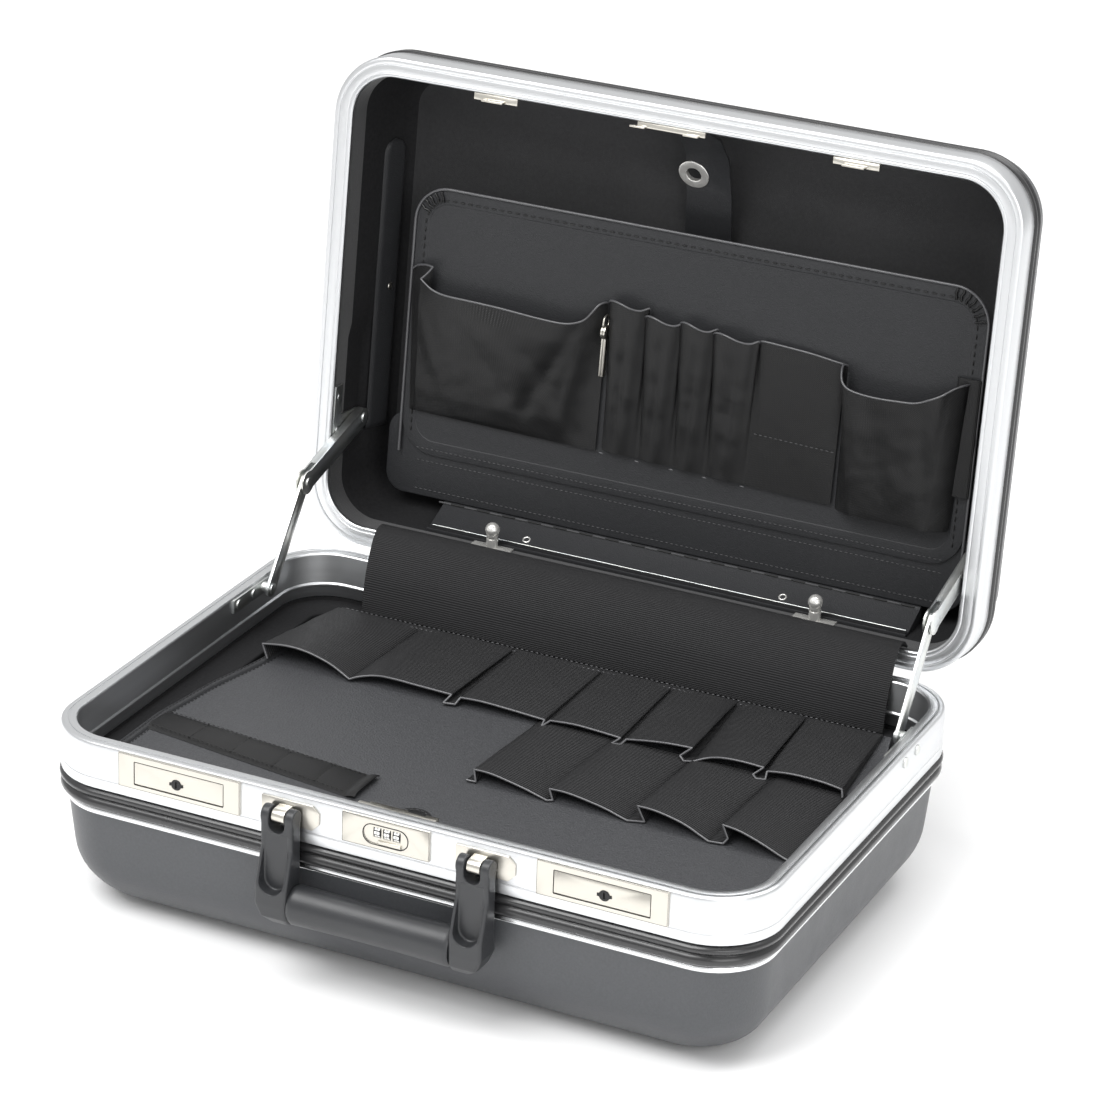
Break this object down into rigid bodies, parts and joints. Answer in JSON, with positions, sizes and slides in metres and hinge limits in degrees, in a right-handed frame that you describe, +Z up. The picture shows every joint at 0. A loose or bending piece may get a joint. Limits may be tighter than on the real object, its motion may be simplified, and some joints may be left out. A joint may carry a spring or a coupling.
{
  "type": "hard tool case",
  "caption": "Hard tool case standing open: grey plastic shells with bright frames and black rubber bumpers, a tool board in the lid, a pocketed tray in the base and a carrying handle",
  "frame": {"origin": "centre of the flat underside that the case rests on", "axes": "+Z up out of the underside, -Y to the front with the latches and handle, +X to the right seen from the front"},
  "size_m": [0.482, 0.4869, 0.4547],
  "materials": {
    "case_shell": "roughness 0.42",
    "frame_aluminium": "roughness 0.3",
    "bumper_rubber": "roughness 0.3",
    "trim_bright": "roughness 0.2",
    "lining_leatherette": "roughness 0.5",
    "hardware_nickel": "roughness 0.25",
    "hinge_steel": "roughness 0.3",
    "handle_plastic": "roughness 0.35",
    "pocket_cloth": "roughness 0.5",
    "cover_cloth": "roughness 0.6",
    "stay_zinc": "roughness 0.28",
    "dial_dark": "roughness 0.3",
    "board_binding": "roughness 0.5",
    "lining_cloth": "roughness 0.8"
  },
  "bodies": {
    "base": {"base_shell": "case_shell", "base_frame": "frame_aluminium", "base_bumper": "bumper_rubber", "base_bead": "trim_bright", "base_lining": "lining_cloth", "hinge_leaf_base_left": "hinge_steel", "hinge_leaf_base_right": "hinge_steel", "stay_base_bracket_left": "stay_zinc", "stay_base_bracket_right": "stay_zinc", "latch_plate_left": "hardware_nickel", "latch_plate_right": "hardware_nickel", "lock_plate": "hardware_nickel", "lock_case": "hardware_nickel", "handle_bracket_left": "hardware_nickel", "handle_bracket_right": "hardware_nickel", "hinge_cover": "cover_cloth"},
    "tray": {"tray_board": "lining_leatherette", "tray_pockets_back": "pocket_cloth", "tray_pockets_front": "pocket_cloth", "tray_strip": "lining_leatherette", "tray_pull_tab": "lining_leatherette"},
    "handle": {"handle_arm_left": "handle_plastic", "handle_arm_right": "handle_plastic", "handle_grip": "handle_plastic"},
    "flap_left": {"latch_flap_left": "hardware_nickel"},
    "flap_right": {"latch_flap_right": "hardware_nickel"},
    "key_cylinder_left": {"key_barrel_left": "hardware_nickel"},
    "key_cylinder_right": {"key_barrel_right": "hardware_nickel"},
    "dial_1": {"lock_dial_1": "dial_dark"},
    "dial_2": {"lock_dial_2": "dial_dark"},
    "dial_3": {"lock_dial_3": "dial_dark"},
    "lock_release": {"lock_slide": "hardware_nickel"},
    "stay_bar_left": {"stay_lower_left": "stay_zinc"},
    "stay_bar_right": {"stay_lower_right": "stay_zinc"},
    "stay_channel_left": {"stay_upper_left": "stay_zinc"},
    "stay_channel_right": {"stay_upper_right": "stay_zinc"},
    "lid": {"lid_shell": "case_shell", "lid_frame": "frame_aluminium", "lid_bumper": "bumper_rubber", "lid_bead": "trim_bright", "lid_lining": "lining_cloth", "hinge_leaf_lid_left": "hinge_steel", "hinge_leaf_lid_right": "hinge_steel", "stay_lid_bracket_left": "stay_zinc", "stay_lid_bracket_right": "stay_zinc", "strike_left": "hardware_nickel", "strike_right": "hardware_nickel", "lock_receiver": "hardware_nickel", "lid_strap": "lining_leatherette", "strap_eyelet": "hardware_nickel", "lid_ledge": "lining_leatherette", "stud_left": "hardware_nickel", "stud_right": "hardware_nickel"},
    "board": {"lid_board": "lining_leatherette", "lid_board_binding": "board_binding", "lid_pocket_large": "pocket_cloth", "lid_pocket_loops": "pocket_cloth", "lid_pocket_phone": "pocket_cloth", "keys": "hardware_nickel"}
  },
  "joints": [
    {"name": "lid_hinge", "type": "hinge", "parent": "base", "child": "lid", "pos_m": [0, 0.1712, 0.11905], "axis": [1, 0, 0], "range_deg": [0, 96.4], "deforming": ["hinge_cover"]},
    {"name": "board_fold", "type": "hinge", "parent": "lid", "child": "board", "pos_m": [0, 0.22476, 0.14394], "axis": [-1, 0, 0], "range_deg": [-45, 0]},
    {"name": "tray_lift", "type": "hinge", "parent": "base", "child": "tray", "pos_m": [0, 0.139, 0.0905], "axis": [1, 0, 0], "range_deg": [-20, 0]},
    {"name": "handle_swing", "type": "hinge", "parent": "base", "child": "handle", "pos_m": [0.0017, -0.1751, 0.1103], "axis": [-1, 0, 0], "range_deg": [0, 90]},
    {"name": "flap_tip_left", "type": "hinge", "parent": "base", "child": "flap_left", "pos_m": [-0.137, -0.1681, 0.10305], "axis": [1, 0, 0], "range_deg": [0, 60]},
    {"name": "key_turn_left", "type": "hinge", "parent": "flap_left", "child": "key_cylinder_left", "pos_m": [-0.1386, -0.1673, 0.1089], "axis": [0, -1, 0], "range_deg": [0, 90]},
    {"name": "flap_tip_right", "type": "hinge", "parent": "base", "child": "flap_right", "pos_m": [0.1446, -0.1681, 0.10305], "axis": [1, 0, 0], "range_deg": [0, 60]},
    {"name": "key_turn_right", "type": "hinge", "parent": "flap_right", "child": "key_cylinder_right", "pos_m": [0.1462, -0.1673, 0.1089], "axis": [0, -1, 0], "range_deg": [0, 90]},
    {"name": "dial_turn_1", "type": "hinge", "parent": "base", "child": "dial_1", "pos_m": [-0.0021, -0.1644, 0.1115], "axis": [1, 0, 0], "continuous": true},
    {"name": "dial_turn_2", "type": "hinge", "parent": "base", "child": "dial_2", "pos_m": [0.0043, -0.1644, 0.1115], "axis": [1, 0, 0], "continuous": true},
    {"name": "dial_turn_3", "type": "hinge", "parent": "base", "child": "dial_3", "pos_m": [0.0107, -0.1644, 0.1115], "axis": [1, 0, 0], "continuous": true},
    {"name": "lock_slide_move", "type": "slide", "parent": "base", "child": "lock_release", "axis": [-1, 0, 0], "range_m": [0, 0.005]},
    {"name": "stay_fold_left", "type": "hinge", "parent": "base", "child": "stay_bar_left", "pos_m": [-0.2227, 0.097, 0.1165], "axis": [1, 0, 0], "range_deg": [0, 128.28]},
    {"name": "stay_elbow_left", "type": "hinge", "parent": "stay_bar_left", "child": "stay_channel_left", "pos_m": [-0.2227, 0.14208, 0.17644], "axis": [1, 0, 0], "range_deg": [-109.54, 0]},
    {"name": "stay_fold_right", "type": "hinge", "parent": "base", "child": "stay_bar_right", "pos_m": [0.2227, 0.097, 0.1165], "axis": [1, 0, 0], "range_deg": [0, 128.28]},
    {"name": "stay_elbow_right", "type": "hinge", "parent": "stay_bar_right", "child": "stay_channel_right", "pos_m": [0.2227, 0.14208, 0.17644], "axis": [1, 0, 0], "range_deg": [-109.54, 0]}
  ],
  "couplings": [
    {"joint": "stay_fold_left", "follows": "lid_hinge", "ratio": 1.3307},
    {"joint": "stay_elbow_left", "follows": "lid_hinge", "ratio": -1.1363},
    {"joint": "stay_fold_right", "follows": "lid_hinge", "ratio": 1.3307},
    {"joint": "stay_elbow_right", "follows": "lid_hinge", "ratio": -1.1363}
  ]
}
